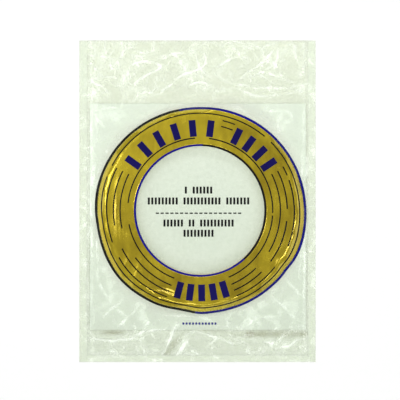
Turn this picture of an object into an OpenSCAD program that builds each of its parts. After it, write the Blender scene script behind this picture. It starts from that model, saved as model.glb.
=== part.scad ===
// Roll of adhesive-backed copper foil tape on its paperboard core, lying on a white
// card inside a flat printed poly bag. Millimetres. The bag lies on its back with its
// mouth towards +Y, and the roll's axis stands along +Z.

/* [Bag] */
// Width of the bag across both side seals
bag_w = 140; // [139:0.5:160]
// Length of the bag from its bottom edge to its mouth
bag_l = 190.5; // [180:0.5:220]
// Thickness of one layer of film
film_t = 0.1; // [0.05:0.01:0.15]
// Width of each welded side seal
side_seal_w = 4.5; // [2:0.5:4.5]
// Width of the welded bottom seal
bottom_seal_w = 4; // [2:0.5:8]
// Height of the gap between the films at the mouth
mouth_gape = 3; // [1:0.5:6]

/* [Card] */
// Width of the backing card
card_w = 128; // [126:0.5:129]
// Length of the backing card
card_l = 134; // [125:0.5:150]
// Thickness of the backing card
card_t = 0.4; // [0.2:0.05:0.6]
// Centre of the card across the bag
card_x = 0.2; // [-0.6:0.1:0.6]
// Centre of the card along the bag
card_y = -9.1; // [-12:0.1:0]

/* [Core] */
// Diameter of the hole through the core
core_bore_d = 76.2; // [70:0.1:78]
// Wall thickness of the core
core_wall = 3; // [2:0.1:4]
// Thickness of the smooth paper that lines the bore
bore_lining_t = 0.4; // [0.2:0.05:0.8]

/* [Tape] */
// Width of the tape, which is also the height of the roll
tape_w = 7.94; // [4:0.01:12.7]
// Outer diameter of the full roll
roll_d = 112; // [100:0.5:113]
// Thickness of the copper foil
foil_t = 0.035; // [0.025:0.005:0.05]
// Thickness of the black adhesive
adhesive_t = 0.025; // [0.02:0.005:0.05]
// Thickness of the release liner
liner_t = 0.08; // [0.05:0.005:0.1]
// Length of the free end that lifts off the roll
free_end_l = 26; // [15:1:60]
// Direction from the roll's centre to the root of the free end, in degrees
free_end_root = 40; // [0:1:320]

/* [Print] */
// Inner diameter of the printed gold ring
gold_in_d = 79.4; // [76:0.1:82]
// Outer diameter of the printed gold ring
gold_out_d = 121; // [119:0.1:124.6]
// Thickness of one layer of ink
ink_t = 0.03; // [0.02:0.01:0.05]
// Width of the printed outlines
outline_w = 1; // [0.3:0.05:1.2]
// Number of title marks above the hole
title_marks = 11; // [5:1:11]
// Number of title marks below the hole
foot_marks = 5; // [3:1:5]

/* [Hidden] */
$fn = 128;

// Roll centre in the bag
roll_x = 1.5;
roll_y = -4.6;
// Clearances: card and film, roll and film at the rim, lifted end and roll, liner and adhesive
card_gap = 0.1;
rim_gap = 0.8;
lift_gap = 0.1;
peel_gap = 0.03;
// Gap along the tape between the last turn and the root of its free end
root_gap = 0.3;

inner_w = bag_w - 2 * side_seal_w;
y_bottom = -bag_l / 2;
y_mouth = bag_l / 2;
y_seal = y_bottom + bottom_seal_w;
card_top = film_t + card_t;
roll_top = card_top + tape_w;

// The front film: a low tray over the card, a cone over the roll, and a raised mouth
tray_z = card_top + card_gap + film_t;
top_z = roll_top + card_gap + film_t;
top_r = roll_d / 2 + rim_gap;
base_r = inner_w / 2 - roll_x - 0.4;
y_lip = card_y + card_l / 2 + 3;
mouth_z = mouth_gape + 2 * film_t;
lip_slope = (mouth_z - tray_z) / (y_mouth - y_lip);

core_in_r = core_bore_d / 2;
core_out_r = core_in_r + core_wall;
tape_t = foil_t + adhesive_t + liner_t;
last_in_r = roll_d / 2 - lift_gap - peel_gap - tape_t;
end_in_r = last_in_r + lift_gap;
end_angle = free_end_l / (roll_d / 2) * 180 / PI;
gap_angle = root_gap / (roll_d / 2) * 180 / PI;

// Height of the front film's outer face at a distance r from the roll's axis
function film_z(r) =
  r <= top_r ? top_z : top_z - (r - top_r) / (base_r - top_r) * (top_z - tray_z);

// Outline of an ink layer from r1 to r2, lying on the film with the given number of layers below
function ink_outline(r1, r2, level) =
  let (under = r1 < top_r && r2 > top_r ? [r1, top_r, r2] : [r1, r2],
       low = [for (r = under) [r, film_z(r) + level * ink_t]],
       n = len(low))
  concat(low, [for (i = [1 : n]) low[n - i] + [0, ink_t]]);

module at_roll() {
  translate([roll_x, roll_y, 0]) children();
}

module ring(r1, r2, h) {
  difference() {
    cylinder(r = r2, h = h);
    translate([0, 0, -1]) cylinder(r = r1, h = h + 2);
  }
}

// The space under the front film's outer face, shrunk on every side by the given amount
module pouch(shrink, y_end, z_from) {
  translate([-inner_w / 2 + shrink, 0, 0])
    rotate([90, 0, 90])
      linear_extrude(inner_w - 2 * shrink)
        polygon([[y_seal + shrink, z_from], [y_end, z_from],
                 [y_end, mouth_z + (y_end - y_mouth) * lip_slope - shrink],
                 [y_lip, tray_z - shrink], [y_seal + shrink, tray_z - shrink]]);
  at_roll()
    translate([0, 0, tray_z - shrink - 0.01])
      cylinder(r1 = base_r - shrink, r2 = top_r - shrink, h = top_z - tray_z + 0.01);
}

module bag_back_film() {
  color([0.90, 0.94, 0.88, 0.5])
    translate([-inner_w / 2, y_seal, 0])
      cube([inner_w, bag_l - bottom_seal_w, film_t]);
}

module bag_front_film() {
  color([0.90, 0.94, 0.88, 0.4])
    difference() {
      pouch(0, y_mouth, film_t);
      pouch(film_t, y_mouth + 5, film_t - 1);
    }
}

module side_seal(side) {
  color([0.85, 0.90, 0.83, 0.6])
    translate([side > 0 ? inner_w / 2 : -bag_w / 2, y_bottom, 0])
      cube([side_seal_w, bag_l, 2 * film_t]);
}

module left_side_seal() {
  side_seal(-1);
}

module right_side_seal() {
  side_seal(1);
}

module bottom_seal() {
  color([0.85, 0.90, 0.83, 0.6])
    translate([-inner_w / 2, y_bottom, 0])
      cube([inner_w, bottom_seal_w, 2 * film_t]);
}

// One printed arc that follows the film
module ink_arc(r1, r2, from, sweep, level) {
  at_roll()
    rotate(from)
      rotate_extrude(angle = sweep)
        polygon(ink_outline(r1, r2, level));
}

module gold_ring_print() {
  color([0.72, 0.58, 0.18])
    ink_arc(gold_in_d / 2, gold_out_d / 2, 0, 360, 0);
}

// A row of plain marks along the ring, centred on a direction
module mark_row(count, centre, pitch) {
  mark_w = 4.6;
  mark_in_r = 43.6;
  mark_out_r = 53.4;
  for (i = [0 : count - 1])
    at_roll()
      rotate(centre + (i - (count - 1) / 2) * pitch)
        translate([mark_in_r, -mark_w / 2, top_z + ink_t])
          cube([mark_out_r - mark_in_r, mark_w, ink_t]);
}

module blue_print() {
  color([0.10, 0.10, 0.42]) {
    ink_arc(gold_out_d / 2, gold_out_d / 2 + outline_w, 0, 360, 0);
    mark_row(title_marks, 89, 11);
    mark_row(foot_marks, 271, 8);
    translate([roll_x - 10, y_seal + 18, tray_z]) cube([20, 1.2, ink_t]);
  }
}

// Broken lines that show the turns of tape, each [radius, [start, end], ...] in degrees
TURN_LINES = [
  [42.4, [94, 174], [191, 249], [293, 356], [358, 443]],
  [46.9, [153, 193], [216, 249], [293, 314], [329, 387]],
  [50.8, [153, 190], [206, 249], [293, 315], [324, 353], [1, 27]],
  [54.6, [153, 200], [210, 249], [293, 323], [338, 379], [22, 28]],
  [57.6, [49, 153], [160, 404]]
];

module turn_lines() {
  line_w = 0.35;
  for (line = TURN_LINES)
    for (i = [1 : len(line) - 1])
      ink_arc(line[0], line[0] + line_w, line[i][0], line[i][1] - line[i][0], 1);
}

// One line of the label, as plain bars of the given lengths
module label_bars(lengths, y, bar_h) {
  space = lengths[0] > bar_h ? 3 : 1.7;
  total = len(lengths) > 1 ? lengths * [for (l = lengths) 1] + space * (len(lengths) - 1)
                           : lengths[0];
  for (i = [0 : len(lengths) - 1]) {
    before = i > 0 ? [for (k = [0 : i - 1]) lengths[k] + space] * [for (k = [0 : i - 1]) 1] : 0;
    translate([roll_x - total / 2 + before, y - bar_h / 2, top_z])
      cube([lengths[i], bar_h, ink_t]);
  }
}

module black_print() {
  bar_h = 2.6;
  color([0.05, 0.05, 0.05]) {
    ink_arc(gold_in_d / 2 - outline_w, gold_in_d / 2, 0, 360, 0);
    turn_lines();
    label_bars([3, 13], 6.6, bar_h);
    label_bars([18, 23, 14], 0.2, bar_h);
    label_bars([for (i = [0 : 14]) 2], -7, 0.6);
    label_bars([13, 4, 21], -12.8, bar_h);
    label_bars([19], -18.8, bar_h);
  }
}

module backing_card() {
  color([0.96, 0.97, 0.95])
    translate([card_x - card_w / 2, card_y - card_l / 2, film_t])
      cube([card_w, card_l, card_t]);
}

module core_board() {
  color([0.62, 0.50, 0.36])
    at_roll()
      translate([0, 0, card_top])
        ring(core_in_r + bore_lining_t, core_out_r, tape_w);
}

module core_bore_lining() {
  color([0.88, 0.85, 0.78])
    at_roll()
      translate([0, 0, card_top])
        ring(core_in_r, core_in_r + bore_lining_t, tape_w);
}

module wound_tape() {
  color([0.70, 0.42, 0.28])
    at_roll()
      translate([0, 0, card_top])
        ring(core_out_r, last_in_r, tape_w);
}

// A strip of one layer along the tape, from one direction over a sweep
module layer_arc(r, t, from, sweep) {
  at_roll()
    translate([0, 0, card_top])
      rotate(from)
        rotate_extrude(angle = sweep)
          translate([r, 0])
            square([t, tape_w]);
}

// A layer of the last turn, which ends at the root of the free end
module last_turn(depth, t) {
  layer_arc(last_in_r + depth, t, free_end_root + end_angle, 360 - end_angle - gap_angle);
}

module last_turn_liner() {
  color([0.93, 0.90, 0.80])
    last_turn(0, liner_t);
}

module last_turn_adhesive() {
  color([0.06, 0.06, 0.06])
    last_turn(liner_t, adhesive_t);
}

module last_turn_foil() {
  color([0.80, 0.45, 0.28])
    last_turn(liner_t + adhesive_t, foil_t);
}

module end_liner() {
  color([0.93, 0.90, 0.80])
    layer_arc(end_in_r, liner_t, free_end_root, end_angle - gap_angle);
}

module end_adhesive() {
  color([0.06, 0.06, 0.06])
    layer_arc(end_in_r + liner_t + peel_gap, adhesive_t, free_end_root,
              end_angle - gap_angle);
}

module end_foil() {
  color([0.80, 0.45, 0.28])
    layer_arc(end_in_r + liner_t + peel_gap + adhesive_t, foil_t, free_end_root,
              end_angle - gap_angle);
}

bag_back_film();
bag_front_film();
left_side_seal();
right_side_seal();
bottom_seal();
gold_ring_print();
blue_print();
black_print();
backing_card();
core_board();
core_bore_lining();
wound_tape();
last_turn_foil();
last_turn_adhesive();
last_turn_liner();
end_foil();
end_adhesive();
end_liner();
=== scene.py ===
"""A printed poly bag that holds a roll of copper foil tape on a white card, seen from above.

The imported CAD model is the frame. This script drapes the bag's film over it, prints the film,
winds the tape, and sets the materials, the light and the camera. Shapes are worked out in
millimetres in the frame's own coordinates, and meshes are made in metres.
"""

import math

import bmesh
import bpy
import mathutils
import numpy as np
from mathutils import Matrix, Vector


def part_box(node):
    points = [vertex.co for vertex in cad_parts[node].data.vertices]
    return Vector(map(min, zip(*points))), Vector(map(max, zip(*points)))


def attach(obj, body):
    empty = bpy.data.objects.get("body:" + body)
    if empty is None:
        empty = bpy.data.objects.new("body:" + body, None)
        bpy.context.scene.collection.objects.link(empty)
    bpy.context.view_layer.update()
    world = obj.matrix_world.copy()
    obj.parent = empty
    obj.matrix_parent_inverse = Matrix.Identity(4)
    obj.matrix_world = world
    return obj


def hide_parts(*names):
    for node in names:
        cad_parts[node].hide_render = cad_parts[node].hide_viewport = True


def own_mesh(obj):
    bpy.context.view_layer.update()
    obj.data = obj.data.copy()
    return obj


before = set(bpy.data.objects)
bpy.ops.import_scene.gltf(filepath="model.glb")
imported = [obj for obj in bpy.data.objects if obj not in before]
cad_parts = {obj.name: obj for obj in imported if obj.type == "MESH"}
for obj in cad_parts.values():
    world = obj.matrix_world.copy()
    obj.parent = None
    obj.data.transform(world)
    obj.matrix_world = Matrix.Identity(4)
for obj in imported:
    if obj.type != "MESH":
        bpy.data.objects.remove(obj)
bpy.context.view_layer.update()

MM = 0.001


def box_mm(node):
    """A CAD node's lowest and highest corners, in millimetres."""
    low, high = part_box(node)
    return np.array(low) / MM, np.array(high) / MM


# ---------------------------------------------------------------- places, from the frame
FILM_LOW, FILM_HIGH = box_mm("bag_front_film")
CARD_LOW, CARD_HIGH = box_mm("backing_card")
TAPE_LOW, TAPE_HIGH = box_mm("wound_tape")
CORE_LOW, CORE_HIGH = box_mm("core_board")
TURN_LOW, TURN_HIGH = box_mm("last_turn_foil")
GOLD_LOW, GOLD_HIGH = box_mm("gold_ring_print")
FILM_T = box_mm("bag_back_film")[1][2]

# Gaps round the last turn and the free end, as in CAD
LIFT_GAP, PEEL_GAP, WIND_GAP = 0.1, 0.03, 0.1
CORE_WALL = 3
ROLL_X, ROLL_Y = (TAPE_LOW + TAPE_HIGH)[:2] / 2
ROLL_R = (TURN_HIGH - TURN_LOW)[0] / 2 + LIFT_GAP
CORE_R = (CORE_HIGH - CORE_LOW)[0] / 2
BORE_R = CORE_R - CORE_WALL
ROLL_TOP = TAPE_HIGH[2]
CARD_TOP = CARD_HIGH[2]
X_LEFT, X_RIGHT = FILM_LOW[0], FILM_HIGH[0]
Y_SEAL, Y_MOUTH = FILM_LOW[1], FILM_HIGH[1]

# The gold print's outer radius is the frame's, and its inner one is read off the photo
GOLD_OUT, GOLD_IN = (GOLD_HIGH - GOLD_LOW)[0] / 2, 39.0
# The layers of the tape: copper foil, black adhesive and release liner
FOIL_T, GLUE_T, LINER_T = 0.035, 0.025, 0.08
TAPE_T = FOIL_T + GLUE_T + LINER_T

# The free end of the tape, in degrees: its root's direction, its arc, and how far it lifts
END_ROOT, END_ARC, END_LIFT = 40.0, 26.6, 15.0


def from_roll(x, y):
    """Distance of each place from the roll's axis."""
    return np.hypot(x - ROLL_X, y - ROLL_Y)


def from_weld(x, y):
    """How far each place lies from the welded edges. The mouth isn't welded."""
    return np.minimum(np.minimum(x - X_LEFT, X_RIGHT - x), y - Y_SEAL)


def off_card(x, y):
    """How far outside the card's outline each place lies. It is below 0 on the card."""
    across = np.maximum(CARD_LOW[0] - x, x - CARD_HIGH[0])
    along = np.maximum(CARD_LOW[1] - y, y - CARD_HIGH[1])
    return np.maximum(across, along)


# ---------------------------------------------------------------- smooth and creased noise
def lattice(x, y, size, seed):
    """Places within the cells of a square lattice, and the random heights of their corners."""
    cells = 64  # before the lattice repeats
    heights = np.random.default_rng(seed).uniform(-1, 1, (cells, cells))
    u, v = x / size + 200.3, y / size + 200.7  # so that no line runs through the origin
    i, j = np.floor(u).astype(int), np.floor(v).astype(int)
    corner = [[heights[(i + a) % cells, (j + b) % cells] for b in (0, 1)] for a in (0, 1)]
    return u - i, v - j, corner


def swell(x, y, size, seed):
    """Smooth noise between about -1 and 1."""
    u, v, c = lattice(x, y, size, seed)
    u, v = u * u * (3 - 2 * u), v * v * (3 - 2 * v)
    low = c[0][0] * (1 - u) + c[1][0] * u
    high = c[0][1] * (1 - u) + c[1][1] * u
    return low * (1 - v) + high * v


def creases(x, y, size, seed, turn):
    """Flat facets that meet in sharp, slightly bent creases, as in film that was crumpled."""
    c, s = math.cos(turn), math.sin(turn)
    bend, wave, squeeze = 0.45 * size, 1.7 * size, 0.8
    x = x + bend * swell(x, y, wave, seed + 1)
    y = y + bend * swell(x, y, wave, seed + 2)
    u, v, k = lattice(c * x - s * y, s * x + squeeze * c * y, size, seed)
    near = k[0][0] + u * (k[1][0] - k[0][0]) + v * (k[0][1] - k[0][0])
    far = k[1][1] + (1 - u) * (k[0][1] - k[1][1]) + (1 - v) * (k[1][0] - k[1][1])
    return np.where(u + v < 1, near, far)


def step(x, low, high):
    """0 below low, 1 above high, and smooth between."""
    t = np.clip((x - low) / (high - low), 0, 1)
    return t * t * (3 - 2 * t)


def curved(points, steps=5):
    """Points on a smooth curve through the given ones."""
    p = np.array([points[0], *points, points[-1]], float)
    t = np.linspace(0, 1, steps, endpoint=False)[:, None]
    parts = [
        0.5 * (
            2 * b
            + (c - a) * t
            + (2 * a - 5 * b + 4 * c - d) * t**2
            + (3 * b - a - 3 * c + d) * t**3
        )
        for a, b, c, d in zip(p, p[1:], p[2:], p[3:])
    ]
    return np.concatenate([*parts, p[-1:]])


def nearest(x, y, points):
    """Distance from each place to a broken line, and how far along it, from 0 to 1."""
    best, along = np.full(np.shape(x), 1e9), np.zeros(np.shape(x))
    lengths = np.hypot(*np.diff(points, axis=0).T)
    done = 0.0
    for (ax, ay), (bx, by), length in zip(points, points[1:], lengths):
        dx, dy = bx - ax, by - ay
        t = np.clip(((x - ax) * dx + (y - ay) * dy) / (dx * dx + dy * dy), 0, 1)
        away = np.hypot(x - ax - t * dx, y - ay - t * dy)
        along = np.where(away < best, (done + t * length) / lengths.sum(), along)
        best = np.minimum(best, away)
        done += length
    return best, along


# ---------------------------------------------------------------- the front film's shape
# Ridges pressed into the film: height, width, then the points that they run through
RIDGES = [
    # between the card and the mouth
    (1.1, 1.3, [(-66, 87), (-47, 85.5), (-44, 89.5), (-36, 94)]),
    (0.8, 0.9, [(-58, 83), (-63, 69)]),
    (1.5, 1.6, [(-43, 69), (-39.5, 79), (-32, 82), (-22, 81), (-22, 78), (-30, 74), (-37, 70)]),
    (0.9, 1.0, [(-39, 90.5), (-32, 87), (-26.5, 89), (-25.5, 96)]),
    (1.0, 0.9, [(-23.5, 84.5), (-3, 88.5)]),
    (0.8, 0.8, [(-11.5, 82.5), (-6.5, 77.5)]),
    (1.3, 1.5, [(-27, 62), (-16, 68.5), (-7.5, 75), (3, 80), (5.5, 92)]),
    (1.2, 1.8, [(8, 77.5), (17.5, 84.5), (27, 85.5)]),
    (0.9, 0.8, [(14, 90), (18, 93.5), (22, 90), (18, 86.5), (14, 90)]),
    (1.2, 1.4, [(26, 72), (35.5, 80.5), (44, 89), (46, 96)]),
    (1.0, 1.0, [(40, 77.5), (47, 83.5), (47.5, 95)]),
    (1.4, 2.2, [(35, 77), (46, 74), (56, 70.5)]),
    (1.0, 1.1, [(12, 74), (22, 68.5), (50, 66.5), (65, 69.5)]),
    (0.8, 0.9, [(17, 95), (27, 92), (28, 87)]),
    (1.0, 1.6, [(-5, 68), (2, 70.5), (9, 67.5)]),
    (0.7, 0.8, [(-22.5, 86.2), (-13, 85.8), (-8, 79.7)]),
    (0.6, 0.8, [(-59, 76.5), (-53, 74.6), (-47, 74.3)]),
    (0.7, 0.8, [(-69, 72), (-60, 69), (-52, 64)]),
    (0.6, 0.8, [(56, 94), (59, 84), (64, 77)]),
    (0.7, 0.8, [(-2, 94), (-1, 86), (1, 79), (8, 74)]),
    (0.6, 0.7, [(-52, 95), (-50, 90), (-54, 84)]),
    (0.5, 0.7, [(29, 93), (37, 90), (40, 84)]),
    (0.6, 0.7, [(-37, 63), (-30, 65.5), (-22, 63)]),
    (0.6, 0.8, [(10, 64), (22, 66), (34, 62.5), (50, 63)]),
    # along the side seams
    (0.2, 0.8, [(-62.6, 64), (-62.0, 20), (-63.2, -20), (-62.0, -76)]),
    (0.2, 0.7, [(-59.5, 57), (-61.0, 10), (-59.8, -30), (-57, -52)]),
    (0.2, 0.9, [(63.6, 62), (62.6, 10), (63.9, -30), (62.8, -74)]),
    (0.25, 0.8, [(61.5, 20), (62.5, -18), (60.5, -45)]),
    # below the card
    (1.5, 1.0, [(-65, -80), (-51, -83), (-41, -81), (-32, -77), (-20, -75)]),
    (1.9, 0.8, [(-12, -72), (-14, -76), (-18.5, -85), (-22.5, -91)]),
    (1.8, 0.8, [(-3, -77.5), (-7, -80), (-9.5, -86), (-12, -91)]),
    (1.6, 0.9, [(-3, -77.5), (3, -77.5), (12, -80.5), (21.5, -84.5), (27, -83)]),
    (1.2, 1.0, [(30, -82), (40, -83.5), (52, -86.5), (59, -82.5), (65, -80)]),
    (0.7, 0.8, [(-35.3, -85), (-35, -91)]),
    (0.7, 0.8, [(-31.5, -86), (-31, -91)]),
    (0.9, 0.9, [(-3.5, -86.5), (-2.6, -91)]),
    (0.7, 0.9, [(-53, -88), (-46, -91)]),
    (0.8, 1.2, [(46, -86), (50, -90)]),
    # folds that run off the foot of the roll
    (0.5, 1.0, [(-44, -57), (-58, -70)]),
    (0.4, 0.9, [(-36, -63), (-47, -74)]),
    (0.5, 1.1, [(-20, -67), (-6, -68), (8, -71)]),
    (0.45, 1.1, [(44, -57), (60, -72)]),
    (0.35, 0.8, [(52, -46), (62, -55)]),
    (0.35, 0.9, [(-55, 44), (-61, 52)]),
    # on the card's corners and beside it
    (0.3, 0.8, [(36.6, 52), (53, 54), (57, 48)]),
    (0.3, 0.8, [(-59.4, 54), (-49.3, 56.3), (-44, 54.5)]),
    (0.3, 0.7, [(-66.8, 46.5), (-64.5, 34), (-66, 18)]),
    (0.3, 0.8, [(66.5, 40), (64.8, 22), (66.6, 2)]),
    (0.25, 0.8, [(-66.5, 4), (-65, -14), (-67, -34), (-65.5, -52)]),
    (0.3, 0.8, [(-62, -38), (-56, -52), (-50, -61), (-40, -69)]),
    (0.25, 0.8, [(24, -66), (34, -70), (48, -68)]),
]
# Ridges of the printed film that lies on the roll, given in the same way
ROLL_RIDGES = [
    (0.70, 1.3, [(58.3, 12), (58.6, -2), (57.5, -17.5), (53.5, -29), (48.5, -34.5),
                 (46, -41), (40, -47), (31, -50.5), (24.5, -54.5), (16, -58.5)]),
    (1.20, 1.1, [(30, -55), (17, -58.5), (4, -60.5), (-2.5, -59), (-11.5, -55), (-22, -51.5),
                 (-33, -53)]),
    (0.35, 1.4, [(-52, 19), (-54.5, 6), (-54, -9)]),
    (0.45, 1.5, [(-46, 14), (-47.3, 2), (-47.3, -15), (-46, -26)]),
    (0.30, 1.2, [(-43, -14), (-42, -27)]),
    (0.55, 1.7, [(-34, -37), (-38, -49)]),
    (0.35, 1.4, [(-40, -33), (-45, -44)]),
    (0.35, 1.5, [(-52, 25), (-45, 36), (-34, 47), (-22, 52)]),
    (0.25, 1.6, [(50, -22), (42, -34)]),
    (0.2, 1.8, [(38, 26), (30, 39)]),
]


def lifted_end():
    """Points along the tape's free end, lifted about its root."""
    a = np.radians(np.linspace(END_ROOT, END_ROOT + END_ARC, 7))
    x, y = ROLL_X + ROLL_R * np.cos(a), ROLL_Y + ROLL_R * np.sin(a)
    u, v = x - x[0], y - y[0]
    c, s = math.cos(math.radians(END_LIFT)), math.sin(math.radians(END_LIFT))
    return x[0] + c * u + s * v, y[0] - s * u + c * v


def end_reach(angle):
    """How far out the lifted free end holds the film, by direction in radians."""
    clearance = 0.5
    before, beyond, faded = 6, 7, 22  # degrees before the root, and beyond the tip
    x, y = lifted_end()
    away = from_roll(x, y) - ROLL_R + clearance
    along = np.degrees(np.arctan2(y - ROLL_Y, x - ROLL_X))
    degrees = np.arange(-180, 181)
    reach = np.interp(
        degrees,
        [along[0] - before, *along, along[-1] + beyond, along[-1] + faded],
        [0, *away, away[-1], 0],
    )
    spread = np.exp(-((np.arange(-12, 13) / 4.5) ** 2))
    reach = np.convolve(reach, spread / spread.sum(), "same")
    return np.interp(np.degrees(angle), degrees, reach)


def ridge_field(x, y, ridges, warp):
    """Height of the ridges at each place, and the painted highlight along their tops. Warp bends
    them.
    """
    x = x + warp * (swell(x, y, 9, 91) + 0.5 * swell(x, y, 3.5, 92))
    y = y + warp * (swell(x, y, 9, 93) + 0.5 * swell(x, y, 3.5, 94))
    uneven = 0.8 + 0.45 * swell(x, y, 7, 95)
    patchy = 0.7 + 0.5 * swell(x, y, 3, 96)
    rise, white = np.zeros(np.shape(x)), np.zeros(np.shape(x))
    for height, width, points in ridges:
        away, along = nearest(x, y, curved(points))
        fade = np.sin(math.pi * (0.05 + 0.9 * along)) ** 0.5
        rise += uneven * fade * height * np.exp(-away / width)
        # A painted highlight along each ridge's top
        top = 0.75 * np.exp(-((away / 0.6) ** 2)) + 0.25 * np.exp(-away / (1.5 * width))
        white = np.maximum(white, fade * patchy * top * (0.45 + 0.35 * min(height, 1.5)))
    below_card = step(-y, 74, 80)
    return rise, white * (1 - 0.25 * below_card)


def film_shape(x, y):
    """Height of the front film's outer face in millimetres, and how milky it is, with painted
    highlights.
    """
    r = from_roll(x, y)
    angle = np.arctan2(y - ROLL_Y, x - ROLL_X)
    over_roll, over_card, least, round_roll, weld_run = 0.1, 0.12, 0.03, 0.5, 2.6
    top = ROLL_TOP + FILM_T + over_roll
    on_card = CARD_TOP + FILM_T + over_card

    # away from the roll: on the card, rising to the mouth, and sinking below the card's foot
    mouth = step(y, 61, 95)
    foot = step(-y, 74, 78)
    low = on_card + 1.3 * mouth - 0.25 * foot
    # how deeply it is creased: more by the mouth, the foot and the sides
    rough = 0.16 + 0.85 * step(y, 63, 72) + 0.5 * foot
    rough += 0.20 * step(np.abs(x - ROLL_X), 56, 62)
    rough += 0.12 * step(-y, 40, 62)
    low += rough * (1.15 * creases(x, y, 17, 11, 0.4) + 0.5 * creases(x, y, 8, 21, 1.1))
    low += (0.13 + 0.15 * rough) * creases(x, y, 4.2, 31, 2.0)
    rise, white = ridge_field(x, y, RIDGES, 1.1)
    low += rise

    # the skirt from the roll's rim: fluted, and wider on the diagonals, most at the lower left
    run = 8.5 + 1.2 * np.cos(4 * angle + math.pi) + 0.8 * np.cos(7 * angle + 1.3)
    run += 2.0 * step(-np.cos(angle - math.pi / 4), 0.2, 1) * step(-y, 20, 60)
    rim = ROLL_R + round_roll + end_reach(angle)
    fall = np.clip((r - rim) / run, 0, 1)
    flute = 0.5 * np.cos(13 * angle + 0.7) + 0.35 * np.cos(29 * angle + 2.1)
    flute += 0.25 * np.cos(47 * angle + 0.3)
    drop = 0.5 * (1 - (1 - fall) ** 1.35) + 0.5 * step(fall, 0, 1)
    skirt = top - (top - on_card) * drop
    skirt += flute * 4 * fall * (1 - fall)

    # on the roll: taut over the hole, a little creased over the tape
    over_tape = step(r, 36, 44)
    lift = 0.10 * over_tape * (1 + creases(x, y, 13, 41, 0.9))
    lift += 0.05 * over_tape * (1 + creases(x, y, 6, 51, 0.2))
    lift += ridge_field(x, y, ROLL_RIDGES, 0.3)[0]
    sag = 0.25 * (1 - np.clip(r / BORE_R, 0, 1) ** 2)

    # the higher of the two, softly joined, and the film on the roll
    soft = 0.7
    z = np.maximum(low, skirt) + 0.2 * soft * np.exp(-np.abs(low - skirt) / soft)
    z = np.where(r < rim, top, z) + lift * (1 - step(fall, 0, 0.9)) - sag

    # welded down at the side seals and the bottom seal, and open at the mouth
    z = 2 * FILM_T + (z - 2 * FILM_T) * step(from_weld(x, y), 0, weld_run)

    # never into what it lies on
    held = np.where(r < ROLL_R + 0.3, ROLL_TOP, 0)
    held = np.maximum(held, np.where(off_card(x, y) < 0, CARD_TOP, FILM_T))
    return np.maximum(z, held + FILM_T + least), np.maximum(white, haze_and_painted_highlights(x, y))


def around(z):
    """The sum of the four heights round each point of a height map."""
    p = np.pad(z, 1, mode="edge")
    return p[:-2, 1:-1] + p[2:, 1:-1] + p[1:-1, :-2] + p[1:-1, 2:]


# Painted highlights, as milky patches on the film: centre, half length and width, turn, strength
PAINTED_HIGHLIGHT_PATCHES = [
    (17, 80.5, 10, 3, 40, 0.35), (45, 74.5, 12, 3, 0, 0.4), (5, 68, 6, 3, 0, 0.35),
    (-44, 70, 3, 7, -10, 0.3), (-65, 65, 3, 6, 0, 0.3), (-43, 91.5, 9, 4, 20, 0.3),
    (-3, 91, 8, 4, 80, 0.3), (62, 66, 5, 3, 30, 0.3), (30, 92, 7, 3, 0, 0.3),
    (52, -86, 4, 2, 10, 0.4), (-33, -87, 2.5, 5, 0, 0.25), (-63, -84, 3, 8, 0, 0.2),
    (48, 42, 5, 4, 0, 0.3), (-50, 50, 8, 4, 0, 0.3), (-52, -60, 10, 8, 0, 0.25),
    (58, -62, 6, 10, 0, 0.25), (-8.6, -86.5, 9, 1.6, 56, 0.5), (46, -83, 14, 1.5, -6, 0.3),
]
# Painted shadows beside the folds, where the film is drawn darker, given in the same way
PAINTED_FOLD_SHADOWS = [
    (-50, -77.7, 7, 1.3, 0, 0.8), (-15.5, -86.5, 9, 2.2, 52, 0.6), (47, -78.6, 25, 2.0, 0, 0.75),
    (31, -78.6, 2.4, 2.2, 0, 0.7), (8, -76.8, 12, 0.8, -4, 0.3),
]


def spot(x, y, cx, cy, half_l, half_w, turn):
    """1 in the middle of a patch that is turned by some degrees, and 0 well away from it."""
    c, s = math.cos(math.radians(turn)), math.sin(math.radians(turn))
    u = (c * (x - cx) + s * (y - cy)) / half_l
    v = (c * (y - cy) - s * (x - cx)) / half_w
    return np.exp(-((u * u + v * v) ** 1.5))


def haze_and_painted_highlights(x, y):
    """How milky the loose film is, with painted highlight patches, from 0 to 1. Over the roll it
    is taut and clear.
    """
    loose = step(from_roll(x, y), ROLL_R + 4, ROLL_R + 11)
    cloud = 0.5 * creases(x, y, 11, 101, 0.3) + 0.5 * creases(x, y, 4.5, 103, 1.3)
    cloud += 0.3 * swell(x, y, 2.2, 105)
    amount = (0.26 - 0.16 * step(-y, 72, 80)) * step(cloud, 0.1, 0.65)
    for *patch, strength in PAINTED_HIGHLIGHT_PATCHES:
        amount = np.maximum(amount, strength * spot(x, y, *patch) * (0.6 + 1.2 * cloud))
    return np.clip(amount * loose, 0, 1)


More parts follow.
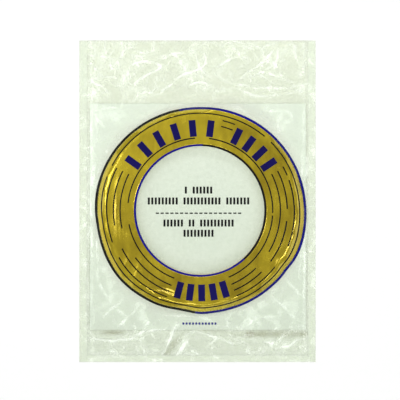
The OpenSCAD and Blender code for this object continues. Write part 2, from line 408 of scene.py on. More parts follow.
class Sheet:
    """A height map of the bag between its welds, with its sharpest edges taken off."""

    def __init__(self, cell, shape):
        self.xs = np.linspace(X_LEFT, X_RIGHT, round((X_RIGHT - X_LEFT) / cell) + 1)
        self.ys = np.linspace(Y_SEAL, Y_MOUTH, round((Y_MOUTH - Y_SEAL) / cell) + 1)
        self.gx, self.gy = np.meshgrid(self.xs, self.ys)
        height, self.white = shape(self.gx, self.gy)
        self.z = (around(height) + 4 * height) / 8

    def at(self, x, y):
        """The height at any place, also between the grid points."""
        u = np.clip((x - self.xs[0]) / (self.xs[1] - self.xs[0]), 0, len(self.xs) - 1.001)
        v = np.clip((y - self.ys[0]) / (self.ys[1] - self.ys[0]), 0, len(self.ys) - 1.001)
        i, j = u.astype(int), v.astype(int)
        u, v = u - i, v - j
        low = self.z[j, i] * (1 - u) + self.z[j, i + 1] * u
        high = self.z[j + 1, i] * (1 - u) + self.z[j + 1, i + 1] * u
        return low * (1 - v) + high * v

    def slope(self, x, y):
        """The steepness at any place, over a short gap."""
        gap = 0.4
        return np.hypot(
            (self.at(x + gap, y) - self.at(x - gap, y)) / (2 * gap),
            (self.at(x, y + gap) - self.at(x, y - gap)) / (2 * gap),
        )

    def milk_and_painted_light(self):
        """How milky the film is, from 0 to 1, with painted light: painted highlights on its
        ridges and in patches, a painted light ring round the print, and less of both in the
        painted fold shadows.
        """
        # Painted highlights on the film's convex creases
        folds = 0.35 * step(4 * self.z - around(self.z), 0.02, 0.3)
        r = from_roll(self.gx, self.gy)
        # A painted light ring just outside the print, which lifts the roll's shade on the card
        skirt = 0.3 * step(r, GOLD_OUT + 1.5, GOLD_OUT + 2.5)
        skirt *= 1 - step(r, ROLL_R + 5, ROLL_R + 9)
        loose = np.maximum(folds, self.white) * step(r, ROLL_R + 3, ROLL_R + 9)
        return np.maximum(loose * (1 - 0.6 * self.painted_fold_shadow()), skirt)

    def looseness(self):
        """How freely the film wrinkles: most by the mouth and the foot, not over the roll."""
        r = from_roll(self.gx, self.gy)
        ends = np.maximum(step(self.gy, 55, 66), 0.6 * step(-self.gy, 62, 76))
        return step(r, ROLL_R + 4, ROLL_R + 11) * (0.35 + 0.65 * ends)

    def painted_fold_shadow(self):
        """How dark the painted shadow beside the folds is, from 0 to 1."""
        uneven = 0.85 + 0.3 * swell(self.gx, self.gy, 4, 107)
        spots = [strength * spot(self.gx, self.gy, *patch) for *patch, strength in PAINTED_FOLD_SHADOWS]
        return np.clip(uneven * sum(spots), 0, 1)


# ---------------------------------------------------------------- meshes
def new_piece(name, verts, faces, material, body, smooth=True):
    """A mesh object from corners in millimetres, riding on a body."""
    mesh = bpy.data.meshes.new(name)
    mesh.from_pydata([tuple(v) for v in np.asarray(verts) * MM], [], faces)
    mesh.validate()
    mesh.update()
    mesh.polygons.foreach_set("use_smooth", [smooth] * len(mesh.polygons))
    mesh.materials.append(material)
    piece = bpy.data.objects.new(name, mesh)
    bpy.context.scene.collection.objects.link(piece)
    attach(piece, body)
    return piece


def corners(x, y, z):
    """A grid of places as one row of corners."""
    return np.stack([x, y, z], axis=-1).reshape(-1, 3)


def grid_faces(rows, columns, start=0):
    """The four-sided faces of a grid of corners, numbered from start."""
    return [
        (a, a + 1, a + columns + 1, a + columns)
        for j in range(rows - 1)
        for a in range(start + j * columns, start + j * columns + columns - 1)
    ]


def thicken(piece, thickness):
    """Gives a sheet its thickness, below the face that was modelled."""
    skin = piece.modifiers.new("thickness", "SOLIDIFY")
    skin.thickness = thickness * MM
    skin.offset = -1
    skin.use_even_offset = False
    bpy.context.view_layer.objects.active = piece
    with bpy.context.temp_override(object=piece, active_object=piece):
        bpy.ops.object.modifier_apply(modifier=skin.name)


def close_seams(piece):
    """Joins the corners that lie on one another, as where a ring meets itself."""
    mesh = bmesh.new()
    mesh.from_mesh(piece.data)
    bmesh.ops.remove_doubles(mesh, verts=mesh.verts, dist=0.001 * MM)
    mesh.to_mesh(piece.data)
    mesh.free()


def film_piece(name, sheet, material):
    """One of the bag's films, with the marks that its material reads."""
    verts = corners(sheet.gx, sheet.gy, sheet.z)
    piece = new_piece(name, verts, grid_faces(*sheet.z.shape), material, "bag")
    marks = {
        "milk_and_painted_light": sheet.milk_and_painted_light(),
        "looseness": sheet.looseness(),
        "painted_fold_shadow": sheet.painted_fold_shadow(),
    }
    for mark, values in marks.items():
        layer = piece.data.attributes.new(mark, "FLOAT", "POINT")
        layer.data.foreach_set("value", values.reshape(-1))
    thicken(piece, FILM_T)
    return piece


# ---------------------------------------------------------------- printing
# The order in which the inks lie on one another, from the film upwards
ON_FILM, BLACK_RIM, BLUE_RIM, GOLD, ON_GOLD = range(5)
# How far the lowest ink's face is above the film's, then each next one's, and how thick one is
INK_RISE, INK_STEP, INK_T = 0.045, 0.02, 0.012


class Ink:
    """Thin printed shapes that lie on the film, gathered into one piece."""

    def __init__(self, sheet):
        self.sheet, self.verts, self.faces = sheet, [], []

    def patch(self, x, y, layer):
        """A grid of points, laid on the film with some layers of ink below it."""
        rise = (INK_RISE + INK_STEP * layer) * np.sqrt(1 + self.sheet.slope(x, y) ** 2)
        z = self.sheet.at(x, y) + rise
        self.faces += grid_faces(*x.shape, len(self.verts))
        self.verts += corners(x, y, z).tolist()

    def arc(self, r1, r2, start, end, layer, shift=0):
        """Part of a printed ring, between two radii and two directions in degrees."""
        cell = 0.5
        across = max(2, math.ceil((r2 - r1) / cell) + 1)
        along = max(3, math.ceil(math.radians(end - start) * r2 / cell) + 1)
        r, a = np.meshgrid(
            np.linspace(r1, r2, across), np.radians(np.linspace(start, end, along))
        )
        x, y = printed(r, a)
        self.patch(x + shift, y, layer)

    def bar(self, x1, x2, y, height):
        """An upright rectangle on the bare film."""
        cell = 0.6
        columns = max(2, math.ceil((x2 - x1) / cell) + 1)
        rows = max(2, math.ceil(height / cell) + 1)
        x, y = np.meshgrid(
            np.linspace(x1, x2, columns),
            np.linspace(y - height / 2, y + height / 2, rows),
        )
        self.patch(x, y, ON_FILM)

    def piece(self, name, material, node, slot):
        made = new_piece(name, self.verts, self.faces, material, "bag")
        close_seams(made)
        thicken(made, INK_T)
        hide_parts(node)
        return made


# Where the print is drawn in, or let out, as the film drops over the rim: the direction and the
# width in degrees, and the depth
DENTS = [
    (190, 12, 0.8), (222, 14, -0.7), (258, 8, 0.9),
    (271, 4, -0.3), (326, 5, 0.5), (338, 17, -1.1),
]
# The print's centre, which isn't quite the roll's
PRINT_X, PRINT_Y = ROLL_X + 0.1, ROLL_Y - 0.8


def printed(r, a):
    """Where a point of the flat print lies, seen from above."""
    draw = -0.75 * np.cos(2 * a)
    for centre, width, depth in DENTS:
        off = (np.degrees(a) - centre + 180) % 360 - 180
        draw = draw + depth * np.exp(-((off / width) ** 2))
    r = r - draw * step(r, 48, 61)
    return PRINT_X + r * np.cos(a), PRINT_Y + r * np.sin(a)


# Printed lines that stand for the turns of tape: their radius, then each arc's two directions
TURN_LINES = [
    (42.4, (94, 174), (191, 249), (293, 356), (358, 443)),
    (46.9, (153, 193), (216, 249), (293, 314), (329, 387)),
    (50.8, (153, 190), (206, 249), (293, 315), (324, 353), (1, 27), (68, 76)),
    (54.6, (153, 200), (210, 249), (293, 323), (338, 379), (22, 28), (68, 76)),
    (57.6, (49, 153), (160, 404)),
]
# The ring's rows of marks: how many, and the row's middle and spacing in degrees
MARK_ROWS = [(6, 113.7, 12.3), (4, 48.8, 10), (5, 271, 8)]
# The label's lines: height on the bag, then the lengths of its words
LABEL_LINES = [
    (6.6, (3, 13)),
    (0.2, (18, 23, 14)),
    (-12.8, (13, 4, 21)),
    (-18.8, (19,)),
]


def print_label(ink):
    """Plain ticks in place of words, and a dashed rule."""
    middle = PRINT_X - 1
    tick, pitch, word_gap, height = 1.25, 2.05, 2.6, 4.1
    for y, words in LABEL_LINES:
        counts = [max(1, round(length / pitch)) for length in words]
        total = sum(counts) * pitch + word_gap * (len(words) - 1) - (pitch - tick)
        x = middle - total / 2
        for count in counts:
            for _ in range(count):
                ink.bar(x, x + tick, y, height)
                x += pitch
            x += word_gap
    dash, dash_pitch, dashes = 1.9, 2.85, 18
    for i in range(dashes):
        x = middle + (i - (dashes - 1) / 2) * dash_pitch
        ink.bar(x - dash / 2, x + dash / 2, -7, 0.8)


def print_foot(ink):
    """A row of small squares near the bag's foot."""
    squares, width, pitch = 11, 1.1, 1.9
    for i in range(squares):
        x = PRINT_X - 10.5 + i * pitch
        ink.bar(x, x + width, -72.4, 1.3)


def print_marks(ink, count, centre, pitch):
    """A row of plain marks that stand upright along the ring."""
    mark_w, mark_in, mark_out = 4.0, 43.6, 53.4
    for i in range(count):
        a = math.radians(centre + (i - (count - 1) / 2) * pitch)
        u, v = np.meshgrid(
            np.linspace(-mark_w / 2, mark_w / 2, 10), np.linspace(mark_in, mark_out, 20)
        )
        x = PRINT_X + v * math.cos(a) - u * math.sin(a)
        y = PRINT_Y + v * math.sin(a) + u * math.cos(a)
        ink.patch(x, y, ON_GOLD)


def print_film(sheet, looks):
    """The three inks. Each outline is blue part of the way round and black the rest."""
    outer, inner, under, off = 1.35, 1.1, 0.5, 0.15
    rim = (GOLD_OUT - under, GOLD_OUT + outer)
    hole = (GOLD_IN - inner, GOLD_IN + under)
    gold = Ink(sheet)
    gold.arc(GOLD_IN, GOLD_OUT, 0, 360, GOLD)
    blue = Ink(sheet)
    blue.arc(*rim, 267, 462, BLUE_RIM, off)
    blue.arc(*hole, 88, 312, BLUE_RIM, off)
    for row in MARK_ROWS:
        print_marks(blue, *row)
    print_foot(blue)
    black = Ink(sheet)
    black.arc(*rim, 92, 272, BLACK_RIM, -off)
    black.arc(*hole, -60, 104, BLACK_RIM, -off)
    for radius, *arcs in TURN_LINES:
        for start, end in arcs:
            black.arc(radius - 0.1, radius + 0.65, start, end, ON_GOLD)
    print_label(black)
    return [
        gold.piece("gold_ring_ink", looks["gold"], "gold_ring_print", "gold_ink"),
        blue.piece("navy_ink", looks["navy"], "blue_print", "blue_ink"),
        black.piece("black_ink", looks["black"], "black_print", "black_ink"),
    ]


# ---------------------------------------------------------------- materials
class Look:
    """A material, and short ways to build the nodes behind its shader's sockets."""

    def __init__(self, name, **sockets):
        self.material = bpy.data.materials.new(name)
        self.material.use_nodes = True
        self.tree = self.material.node_tree
        self.shader = self.tree.nodes["Principled BSDF"]
        for socket, value in sockets.items():
            self.shader.inputs[socket.replace("_", " ")].default_value = value
        self.place = self.add("ShaderNodeTexCoord").outputs["Object"]

    def add(self, kind, **settings):
        node = self.tree.nodes.new(kind)
        for key, setting in settings.items():
            setattr(node, key, setting)
        return node

    def feed(self, socket, source):
        """Links a node's output to a socket, or sets the socket to a value."""
        if isinstance(source, bpy.types.NodeSocket):
            self.tree.links.new(source, socket)
        else:
            socket.default_value = source

    def math(self, operation, *sources, clamp=False):
        node = self.add("ShaderNodeMath", operation=operation, use_clamp=clamp)
        for socket, source in zip(node.inputs, sources):
            self.feed(socket, source)
        return node.outputs[0]

    def plus(self, base, extra, weight, clamp=False):
        """A base with a weighted extra."""
        return self.math("ADD", base, self.math("MULTIPLY", extra, weight), clamp=clamp)

    def stretched(self, scale=(1, 1, 1), offset=(0, 0, 0), turn=0):
        """The place that is looked up, moved in metres, turned in radians and scaled."""
        node = self.add("ShaderNodeMapping")
        self.feed(node.inputs["Vector"], self.place)
        node.inputs["Location"].default_value = offset
        node.inputs["Rotation"].default_value = (0, 0, turn)
        node.inputs["Scale"].default_value = scale
        return node.outputs[0]

    def noise(self, size, detail=3, roughness=0.55, distortion=0.0, place=None):
        """Noise from 0 to 1 with features of a size in millimetres."""
        node = self.add("ShaderNodeTexNoise")
        self.feed(node.inputs["Vector"], place or self.place)
        node.inputs["Scale"].default_value = 1000 / size
        node.inputs["Detail"].default_value = detail
        node.inputs["Roughness"].default_value = roughness
        node.inputs["Distortion"].default_value = distortion
        return node.outputs["Fac"]

    def map(self, source, low, high, to_low=0.0, to_high=1.0):
        node = self.add("ShaderNodeMapRange")
        for socket, value in zip(node.inputs, (source, low, high, to_low, to_high)):
            self.feed(socket, value)
        return node.outputs[0]

    def vary(self, noise, low=0.0, high=1.0):
        """Noise that is spread between two values."""
        return self.map(noise, 0.3, 0.7, low, high)

    def mix(self, share, first, second):
        node = self.add("ShaderNodeMix", data_type="RGBA")
        self.feed(node.inputs[0], share)
        for socket, color in zip((node.inputs[6], node.inputs[7]), (first, second)):
            self.feed(socket, color if not isinstance(color, tuple) else (*color, 1.0))
        return node.outputs[2]

    def ramp(self, source, *stops):
        node = self.add("ShaderNodeValToRGB")
        self.feed(node.inputs[0], source)
        points = node.color_ramp.elements
        while len(points) < len(stops):
            points.new(0.5)
        for point, (position, color) in zip(points, stops):
            point.position = position
            point.color = (*color, 1.0)
        return node.outputs[0]

    def split(self):
        node = self.add("ShaderNodeSeparateXYZ")
        self.feed(node.inputs[0], self.place)
        return node.outputs

    def from_axis(self):
        """Distance from the roll's axis in metres, and direction round it in turns."""
        x, y, _ = self.split()
        x = self.math("SUBTRACT", x, ROLL_X * MM)
        y = self.math("SUBTRACT", y, ROLL_Y * MM)
        squares = self.math("ADD", self.math("MULTIPLY", x, x), self.math("MULTIPLY", y, y))
        turns = self.math("DIVIDE", self.math("ARCTAN2", y, x), 2 * math.pi)
        return self.math("SQRT", squares), turns

    def spiral(self, pitch):
        """Place across the strip of a spirally wound wrap, from 0 to 1."""
        _, turns = self.from_axis()
        climb = self.math("DIVIDE", self.split()[2], pitch)
        return self.math("FRACT", self.math("ADD", turns, climb))

    def joined(self, x, y, z):
        node = self.add("ShaderNodeCombineXYZ")
        for socket, source in zip(node.inputs, (x, y, z)):
            self.feed(socket, source)
        return node.outputs[0]

    def mark(self, name):
        """A number that the mesh carries at each of its corners."""
        return self.add("ShaderNodeAttribute", attribute_name=name).outputs["Fac"]

    def finish(self, color, roughness, bump, depth, alpha=None):
        """Links what varies to the shader. The bump's depth is in millimetres."""
        sockets = self.shader.inputs
        self.feed(sockets["Base Color"], color)
        self.feed(sockets["Roughness"], roughness)
        if alpha is not None:
            self.feed(sockets["Alpha"], alpha)
        node = self.add("ShaderNodeBump")
        node.inputs["Distance"].default_value = depth * MM
        self.feed(node.inputs["Height"], bump)
        self.feed(sockets["Normal"], node.outputs[0])
        return self.material


def film_look():
    """Clear film, a little green and finely wrinkled, with painted fold shadows, painted
    highlights and milkiness on its creases, and painted shade towards its foot.
    """
    look = Look("clear_film", IOR=1.5)
    clear, creased, fold_shadow_alpha = 0.155, 0.6, 0.16  # alpha, alpha under the milkiness and painted highlights, and what a painted fold shadow adds to it
    milk_and_painted_light_here = look.mark("milk_and_painted_light")
    fine = look.noise(2.2, 4, 0.6, 0.6)
    # Thin painted highlight lines of fine wrinkles, where the film is loose
    lines = 0.0
    for size, width in ((17, 0.010), (9, 0.012)):
        aside = look.stretched(offset=(size * MM, 0, 0))
        above = look.stretched(offset=(0, size * MM, 0))
        level = look.noise(size, 2, 0.45, 1.0, aside)
        off = look.math("ABSOLUTE", look.math("SUBTRACT", level, 0.5))
        line = look.map(off, 0, width, 1, 0)
        here = look.map(look.noise(1.4 * size, 1, place=above), 0.4, 0.55)
        lines = look.plus(lines, line, here)
    lines = look.math("MULTIPLY", lines, look.mark("looseness"))
    white = look.plus(milk_and_painted_light_here, lines, 0.5, clamp=True)
    # Painted shade: the film's colour darkens towards the foot
    down = look.map(look.split()[1], Y_MOUTH * MM, Y_SEAL * MM)
    painted_shade_down = look.math("MULTIPLY", down, look.vary(look.noise(26, 2), 0.8, 1))
    color = look.mix(painted_shade_down, (0.54, 0.61, 0.40), (0.3564, 0.4392, 0.264))
    # Painted fold shadows: a darker colour and a denser film
    fold_shadow_here = look.mark("painted_fold_shadow")
    color = look.mix(fold_shadow_here, color, (0.27, 0.29, 0.16))
    # Painted highlights and milkiness whiten the colour and make the film denser
    color = look.mix(look.map(white, 0, 0.5), color, (0.92, 0.97, 0.89))
    alpha = look.map(white, 0, 1, clear, creased)
    alpha = look.plus(alpha, fold_shadow_here, fold_shadow_alpha)
    alpha = look.math("ADD", alpha, look.map(fine, 0.35, 0.75, 0, 0.04))
    ripple = look.plus(look.noise(5, 3, 0.5, 0.8), fine, 0.35)
    ripple = look.plus(ripple, lines, 0.6)
    return look.finish(color, look.vary(look.noise(9, 3), 0.07, 0.2), ripple, 0.16, alpha)


def weld_look():
    """Welded film with the fine grid of the heating bar, painted highlights in white patches and
    specks, and painted shade towards its foot.
    """
    look = Look("welded_film", IOR=1.5)
    x, y, _ = look.split()
    grid_pitch = 0.9 * MM
    grid = [look.math("SINE", look.math("MULTIPLY", v, 2 * math.pi / grid_pitch)) for v in (x, y)]
    pressed = look.math("MULTIPLY", grid[0], grid[1])
    color = look.mix(look.noise(9, 2), (0.42, 0.52, 0.30), (0.52, 0.62, 0.38))
    # Painted shade: darker towards the foot
    color = look.mix(look.map(y, Y_MOUTH * MM, Y_SEAL * MM), color, (0.34, 0.44, 0.22))
    # White patches and specks: painted highlights
    patches = look.map(look.noise(6, 3, 0.6, 1.2), 0.5, 0.68, 0, 0.6)
    specks = look.map(look.noise(1.6, 3, 0.6, 0.8), 0.58, 0.72, 0, 0.4)
    white = look.math("ADD", patches, specks, clamp=True)
    alpha = look.map(white, 0, 1, 0.26, 0.45)
    color = look.mix(white, color, (0.90, 0.95, 0.86))
    return look.finish(color, look.vary(look.noise(6, 2), 0.2, 0.3), pressed, 0.03, alpha)


def ink_look(name, dark, light, roughness, edge=None):
    """Printing ink on film, a little uneven in its cover. It may be brighter in the outlines."""
    look = Look(name, Coat_Weight=0.03, Coat_Roughness=0.12, Specular_IOR_Level=0.12)
    grain = look.noise(0.7, 2)
    amount = look.plus(look.noise(24, 2, 0.5, 0.4), grain, 0.07)
    color = look.mix(look.map(amount, 0.28, 0.78), dark, light)
    if edge:
        middle = 49 * MM  # of the ring's width
        off = look.math("ABSOLUTE", look.math("SUBTRACT", look.from_axis()[0], middle))
        color = look.mix(look.map(off, 7 * MM, 9 * MM), color, edge)
    ripple = look.plus(look.noise(5, 3, 0.5, 0.8), grain, 0.1)
    rough = look.vary(look.noise(3, 3), roughness - 0.07, roughness + 0.09)
    return look.finish(color, rough, ripple, 0.07)


def gold_look():
    """Metallic gold ink, faintly streaked and uneven, with painted light: lighter towards the top
    left, darker to either side, and a painted highlight along the rim.
    """
    look = Look(
        "gold_ink", Metallic=0.6, Coat_Weight=0.6, Coat_Roughness=0.16, Specular_IOR_Level=0.25
    )
    x, y, _ = look.split()
    grain = look.noise(0.7, 2)
    streaks = look.noise(5, 2, 0.5, 0.6, look.stretched((1.0, 0.28, 1.0), turn=0.15))
    # Painted light in the ink's colour: the y, x and |x| terms make it lighter towards the top
    # left and darker to either side, and the last term paints a highlight along the rim
    parts = [
        (look.noise(30, 1, 0.5, 0.4), 0.6), (grain, 0.05), (streaks, 0.45),
        (y, 1.4), (x, -2.4), (look.math("ABSOLUTE", x), -1.6),
        (look.map(look.from_axis()[0], 54 * MM, 58 * MM), 0.2),
    ]
    amount = 0.05
    for source, weight in parts:
        amount = look.plus(amount, source, weight)
    color = look.mix(look.map(amount, 0.25, 0.75), (0.30, 0.21, 0.004), (0.66, 0.51, 0.02))
    ripple = look.plus(look.noise(8, 2, 0.4, 0.5), grain, 0.03)
    return look.finish(color, look.vary(look.noise(6, 2), 0.17, 0.29), ripple, 0.1)


def card_look():
    """Coated white board: fine fibres, a faint grey mottle, and painted shade that darkens it
    towards its foot.
    """
    look = Look("white_card", Coat_Weight=0.08, Coat_Roughness=0.4)
    fibre = look.noise(0.9, 4, 0.7, 0.5, look.stretched((1.0, 0.3, 1.0), turn=0.5))
    color = look.mix(look.vary(look.noise(14, 4)), (0.80, 0.86, 0.81), (0.86, 0.91, 0.87))
    # Painted shade: darker towards the card's foot
    down = look.map(look.split()[1], CARD_HIGH[1] * MM, CARD_LOW[1] * MM)
    color = look.mix(down, color, (0.74, 0.79, 0.73))
    color = look.mix(look.map(fibre, 0.3, 0.8, 0, 0.25), color, (0.70, 0.74, 0.68))
    return look.finish(color, look.vary(fibre, 0.45, 0.62), fibre, 0.03)


def board_look():
    """Grey-brown core board: plies in its ends, and the spiral of its wrap outside."""
    look = Look("core_paperboard")
    ply_t = 0.5 * MM
    r, _ = look.from_axis()
    ply = look.math("SINE", look.math("MULTIPLY", r, 2 * math.pi / ply_t))
    fibre = look.noise(0.8, 4, 0.7, 0.4)
    seam = look.math("LESS_THAN", look.spiral(30 * MM), 0.012)
    color = look.mix(look.vary(look.noise(5, 3)), (0.36, 0.29, 0.21), (0.48, 0.41, 0.31))
    color = look.mix(look.map(ply, -1, 1, 0.45, 0.0), color, (0.24, 0.18, 0.12))
    color = look.mix(look.map(fibre, 0.4, 0.8, 0, 0.35), color, (0.52, 0.42, 0.30))
    height = look.math("SUBTRACT", look.plus(fibre, ply, 0.5), seam)
    return look.finish(color, look.vary(fibre, 0.75, 0.95), height, 0.07)


def lining_look():
    """Smooth kraft paper in the bore, with the line of its spiral overlap."""
    look = Look("core_paper", Coat_Weight=0.05, Coat_Roughness=0.5)
    seam = look.map(look.spiral(24 * MM), 0.0, 0.02, 1.0, 0.0)
    fibre = look.noise(1.1, 4, 0.7, 0.3, look.stretched((1, 1, 0.3)))
    color = look.mix(look.map(fibre, 0.3, 0.75), (0.62, 0.55, 0.42), (0.76, 0.70, 0.58))
    color = look.mix(look.math("MULTIPLY", seam, 0.5), color, (0.36, 0.29, 0.20))
    height = look.math("ADD", fibre, seam)
    return look.finish(color, look.vary(fibre, 0.55, 0.7), height, 0.05)


def wound_look():
    """The edges of the wound tape: copper, black adhesive and pale liner, turn after turn."""
    look = Look("wound_edges", Metallic=0.35)
    r, _ = look.from_axis()
    turn = look.math("DIVIDE", r, TAPE_T * MM)
    band = look.noise(1.6, 3, 0.7, place=look.joined(r, 0.0, 0.0))
    within = look.math("FRACT", turn)
    color = look.ramp(
        within,
        (0.0, (0.58, 0.47, 0.33)),
        (0.5, (0.46, 0.33, 0.21)),
        (0.6, (0.03, 0.025, 0.02)),
        (0.72, (0.05, 0.03, 0.02)),
        (0.8, (0.72, 0.32, 0.16)),
        (1.0, (0.78, 0.38, 0.20)),
    )
    wide = look.noise(0.7, 2, 0.6, place=look.joined(0.0, r, 0.0))
    color = look.mix(look.map(band, 0.35, 0.65, 0.0, 0.65), color, (0.20, 0.10, 0.055))
    color = look.mix(look.map(wide, 0.5, 0.7, 0.0, 0.55), color, (0.80, 0.50, 0.33))
    return look.finish(color, look.vary(band, 0.32, 0.5), within, 0.04)


def copper_look():
    """Rolled copper foil: fine lines along the tape, faint stains, and soft dents."""
    look = Look("copper_foil", Metallic=1.0)
    z = look.split()[2]
    line = look.noise(0.16, 3, 0.6, place=look.joined(0.0, 0.0, z))
    stain = look.noise(8, 3, 0.6, 0.6)
    dent = look.noise(3.5, 2, 0.5, 0.3)
    color = look.mix(look.map(stain, 0.3, 0.72), (0.87, 0.40, 0.22), (0.66, 0.27, 0.14))
    color = look.mix(look.vary(line, 0, 0.25), color, (0.95, 0.56, 0.36))
    return look.finish(color, look.vary(stain, 0.2, 0.36), look.plus(line, dent, 2.5), 0.03)


def adhesive_look():
    """Black acrylic adhesive: satin, and a little grained where the liner left it."""
    look = Look("black_adhesive", Coat_Weight=0.15, Coat_Roughness=0.3)
    grain = look.noise(0.7, 4, 0.65)
    color = look.mix(grain, (0.010, 0.010, 0.011), (0.035, 0.033, 0.034))
    return look.finish(color, look.vary(grain, 0.34, 0.55), grain, 0.02)


def liner_look():
    """Waxed release paper: cream, with faint fibres and a soft gloss."""
    look = Look("release_paper", Coat_Weight=0.25, Coat_Roughness=0.25)
    fibre = look.noise(0.8, 4, 0.7, 0.4, look.stretched((1, 1, 0.35)))
    color = look.mix(look.map(fibre, 0.3, 0.75), (0.82, 0.77, 0.62), (0.92, 0.89, 0.78))
    return look.finish(color, look.vary(fibre, 0.38, 0.5), fibre, 0.02)


def floor_look():
    """Matt white paper sweep."""
    look = Look("pale_floor")
    grain = look.noise(3, 3)
    color = look.mix(grain, (0.93, 0.93, 0.93), (0.95, 0.95, 0.95))
    return look.finish(color, look.vary(grain, 0.85, 0.95), grain, 0.02)


# ---------------------------------------------------------------- the other pieces
def back_shape(x, y):
    """Height of the back film's upper face: flat under the card, a little rucked outside it."""
    ruck = 0.28 * (1 + creases(x, y, 15, 61, 1.7)) + 0.12 * (1 + creases(x, y, 6, 71, 0.6))
    ruck = ruck * step(off_card(x, y), 0.3, 6) * step(from_weld(x, y), 0.5, 4)
    return FILM_T + ruck, np.zeros(np.shape(x))


def seal_piece(name, node, looks):
    """A welded strip: ribs across it, small puckers, and a bead along its inner edge."""
    low, high = box_mm(node)
    size = high - low
    cell, rib_pitch = 0.45, 1.5
    xs = np.linspace(low[0], high[0], max(6, round(size[0] / cell) + 1))
    ys = np.linspace(low[1], high[1], max(6, round(size[1] / cell) + 1))
    x, y = np.meshgrid(xs, ys)
    short = 0 if size[1] > size[0] else 1
    across, along = (x, y) if short == 0 else (y, x)
    middle = ((low + high) / 2)[short]
    inwards = -math.copysign(1, middle)
    share = (across - middle) / (size[short] / 2) * inwards
    pucker = 0.06 * (1 + swell(x, y, 5.5, 81)) + 0.05 * (1 + creases(x, y, 2.4, 83, 0.5))
    ribs = 0.03 * (1 + np.sin(along * 2 * math.pi / rib_pitch))
    ribs = ribs * step(0.75 - np.abs(share), 0, 0.2)
    bead = 0.05 * np.exp(-(((share - 0.8) / 0.2) ** 2))
    z = 2 * FILM_T + (pucker + ribs) * step(1 - np.abs(share), 0, 0.3) + bead
    piece = new_piece(name, corners(x, y, z), grid_faces(*x.shape), looks["weld"], "bag")
    thicken(piece, 2 * FILM_T)
    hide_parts(node)
    return piece


def wound_piece(looks):
    """The wound turns, each standing a little higher or lower than its neighbours."""
    sectors, deepest, bevel = 144, 0.22, 0.012
    last = ROLL_R - LIFT_GAP - PEEL_GAP - TAPE_T - WIND_GAP
    turns = int((last - CORE_R) / TAPE_T)
    radii = np.linspace(CORE_R + 0.01, last, turns + 1)
    chance = np.random.default_rng(5)
    drift = np.cumsum(chance.normal(0, 0.02, turns))
    drift -= np.linspace(drift[0], drift[-1], turns)
    depths = np.clip(0.07 + drift + chance.uniform(-0.05, 0.05, turns), 0.0, deepest)

    # the outline of a cut through the turns: along their tops, and back along their feet
    profile = []
    for start, end, depth in zip(radii, radii[1:], depths):
        profile += [(start + bevel, depth), (end - bevel, depth)]
    top = [(r, TAPE_HIGH[2] - depth) for r, depth in profile]
    foot = [(r, TAPE_LOW[2] + deepest - depth) for r, depth in profile[::-1]]
    foot[0] = (foot[0][0], TAPE_LOW[2])
    foot[-1] = (foot[-1][0], TAPE_LOW[2])
    r, z = np.array(top + foot).T

    # swept round the axis, with the upper face a little out of flat
    a = np.linspace(0, 2 * math.pi, sectors, endpoint=False)[:, None]
    wobble = 0.03 * np.sin(3 * a + 1.0) + 0.02 * np.sin(7 * a)
    upper = z > (TAPE_LOW[2] + TAPE_HIGH[2]) / 2
    z = np.clip(z + wobble * upper - 0.05 * upper, 0, TAPE_HIGH[2])
    verts = corners(ROLL_X + r * np.cos(a), ROLL_Y + r * np.sin(a), z)
    n = len(r)
    faces = []
    for i in range(sectors):
        here, there = i * n, (i + 1) % sectors * n
        for k in range(n):
            following = (k + 1) % n
            faces.append((here + k, here + following, there + following, there + k))
    piece = new_piece("wound_turns", verts, faces, looks["wound"], "roll", smooth=False)
    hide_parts("wound_tape")
    return piece


def dress(node, material):
    """A carried-over CAD node keeps its shape and gets a detailed material."""
    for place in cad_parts[node].material_slots:
        place.material = material


# ---------------------------------------------------------------- light and camera
def softbox(name, x, y, z, width, length, power):
    """A rectangular lamp that is aimed at the frame's origin. Its sizes are in metres."""
    data = bpy.data.lights.new(name, "AREA")
    data.shape, data.size, data.size_y, data.energy = "RECTANGLE", width, length, power
    lamp = bpy.data.objects.new(name, data)
    bpy.context.scene.collection.objects.link(lamp)
    lamp.location = (x, y, z)
    direction = mathutils.Vector((0, 0, 0)) - lamp.location
    lamp.rotation_euler = direction.to_track_quat("-Z", "Y").to_euler()
    return lamp


def stage():
    """The floor, the world's light and the lamps."""
    mesh = bpy.data.meshes.new("floor")
    side, under = 3.0, -0.0004
    mesh.from_pydata(
        [(-side, -side, under), (side, -side, under), (side, side, under), (-side, side, under)],
        [], [(0, 1, 2, 3)],
    )
    mesh.materials.append(floor_look())
    floor = bpy.data.objects.new("floor", mesh)
    bpy.context.scene.collection.objects.link(floor)

    world = bpy.data.worlds.new("studio")
    world.use_nodes = True
    background = world.node_tree.nodes["Background"].inputs
    background["Color"].default_value = (0.97, 1.0, 0.97, 1)
    background["Strength"].default_value = 0.24
    bpy.context.scene.world = world
    bpy.context.scene.view_settings.view_transform = "Standard"

    softbox("left_strip", -0.62, 0.16, 0.85, 0.16, 0.9, 3.2)
    softbox("right_strip", 0.60, -0.20, 0.90, 0.12, 0.8, 2.7)
    softbox("top_box", 0.10, 0.70, 0.80, 0.7, 0.18, 2.3)
    softbox("foot_box", -0.05, -0.75, 0.85, 0.6, 0.12, 1.8)
    overhead = softbox("overhead_box", 0.0, 0.0, 1.55, 1.1, 1.1, 6.4)
    overhead.visible_glossy = False


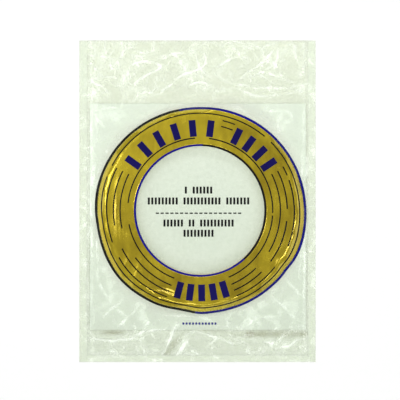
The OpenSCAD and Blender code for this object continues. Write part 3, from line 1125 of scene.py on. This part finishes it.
def camera():
    """A long lens straight above the photo's middle. At mid height it sees the photo's width."""
    lens, sensor, view_w = 200, 36, 236.3 * MM
    middle_x, middle_y, mid_height = 1.48 * MM, 0.77 * MM, 4 * MM
    data = bpy.data.cameras.new("camera")
    data.lens, data.sensor_width = lens, sensor
    data.clip_start, data.clip_end = 0.01, 100
    eye = bpy.data.objects.new("camera", data)
    bpy.context.scene.collection.objects.link(eye)
    eye.location = (middle_x, middle_y, view_w * lens / sensor + mid_height)
    bpy.context.scene.camera = eye


# ---------------------------------------------------------------- the build
def main():
    navy = (0.003, 0.001, 0.06), (0.004, 0.002, 0.10)
    black = (0.002, 0.002, 0.003), (0.006, 0.006, 0.007)
    looks = {
        "film": film_look(),
        "weld": weld_look(),
        "gold": gold_look(),
        "navy": ink_look("blue_ink", *navy, 0.45, edge=(0.004, 0.004, 0.21)),
        "black": ink_look("black_ink", *black, 0.4),
        "card": card_look(),
        "board": board_look(),
        "lining": lining_look(),
        "wound": wound_look(),
        "copper": copper_look(),
        "adhesive": adhesive_look(),
        "liner": liner_look(),
    }

    back = Sheet(1.2, back_shape)
    front = Sheet(0.72, film_shape)
    back_film = film_piece("back_film", back, looks["film"])
    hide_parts("bag_back_film")
    front_film = film_piece("front_film", front, looks["film"])
    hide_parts("bag_front_film")
    inks = print_film(front, looks)
    seals = [
        seal_piece("left_weld", "left_side_seal", looks),
        seal_piece("right_weld", "right_side_seal", looks),
        seal_piece("bottom_weld", "bottom_seal", looks),
    ]
    # Their shadows would count their tint twice
    for piece in (front_film, back_film, *seals, *inks):
        piece.visible_shadow = False
    wound_piece(looks)
    for node, key in (
        ("backing_card", "card"), ("core_board", "board"), ("core_bore_lining", "lining"),
        ("last_turn_foil", "copper"), ("last_turn_adhesive", "adhesive"),
        ("last_turn_liner", "liner"), ("end_foil", "copper"), ("end_adhesive", "adhesive"),
        ("end_liner", "liner"),
    ):
        dress(node, looks[key])

    # The front film and its inks each get a mesh of their own
    for piece in [front_film, *inks]:
        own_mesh(piece)

    stage()
    camera()


main()
